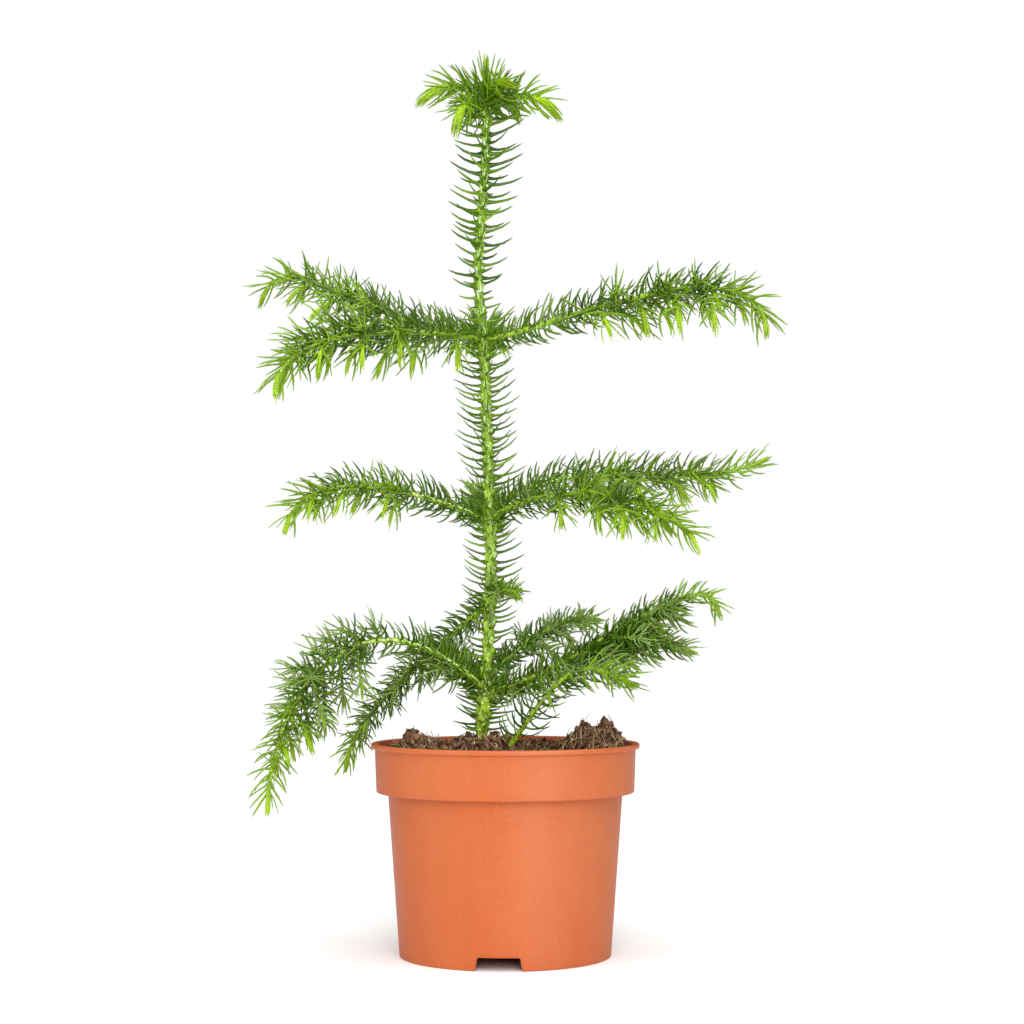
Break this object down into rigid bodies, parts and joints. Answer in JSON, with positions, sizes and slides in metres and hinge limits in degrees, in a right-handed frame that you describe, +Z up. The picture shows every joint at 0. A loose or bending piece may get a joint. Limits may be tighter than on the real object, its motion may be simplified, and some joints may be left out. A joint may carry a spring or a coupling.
{
  "type": "potted norfolk island pine",
  "caption": "Young Norfolk Island pine with tiers of drooping boughs and soft curved needles, standing in a round flanged nursery pot filled with soil.",
  "frame": {"origin": "middle of the pot's underside, on the pot's axis, which is also the middle of the box's base", "axes": "+Z up along the trunk, +X to the right in the picture, -Y toward the picture's camera"},
  "size_m": [0.2512, 0.1569, 0.4077],
  "materials": {
    "pot": "satin terracotta-coloured moulded plastic",
    "soil": "rough moist peat with pale straw bits",
    "trunk": "satin green bark ridged by needle bases",
    "bough": "satin green bark ridged by needle bases",
    "foliage": "satin needles, mid to dark green",
    "shoot": "satin young needles, bright green"
  },
  "bodies": {
    "root": {"bough_basal_shoot": "bough", "bough_lower_back": "bough", "bough_lower_front": "bough", "bough_lower_left_arch": "bough", "bough_lower_left_drop": "bough", "bough_lower_right": "bough", "bough_lower_right_back": "bough", "bough_middle_back": "bough", "bough_middle_left": "bough", "bough_middle_right_back": "bough", "bough_middle_right_front": "bough", "bough_upper_back": "bough", "bough_upper_left_back": "bough", "bough_upper_left_front": "bough", "bough_upper_right": "bough", "foliage_basal_shoot": "foliage", "foliage_lower_back": "foliage", "foliage_lower_front": "foliage", "foliage_lower_left_arch": "foliage", "foliage_lower_left_arch_fall": "foliage", "foliage_lower_left_drop": "foliage", "foliage_lower_right": "foliage", "foliage_lower_right_back": "foliage", "foliage_middle_back": "foliage", "foliage_middle_left": "foliage", "foliage_middle_right_back": "foliage", "foliage_middle_right_front": "foliage", "foliage_upper_back": "foliage", "foliage_upper_left_back": "foliage", "foliage_upper_left_front": "foliage", "foliage_upper_right": "foliage", "pot": "pot", "shoot_top_back_left": "shoot", "shoot_top_back_right": "shoot", "shoot_top_front_left": "shoot", "shoot_top_front_right": "shoot", "shoot_top_left": "shoot", "shoot_top_right": "shoot", "soil": "soil", "trunk": "trunk"}
  },
  "joints": []
}
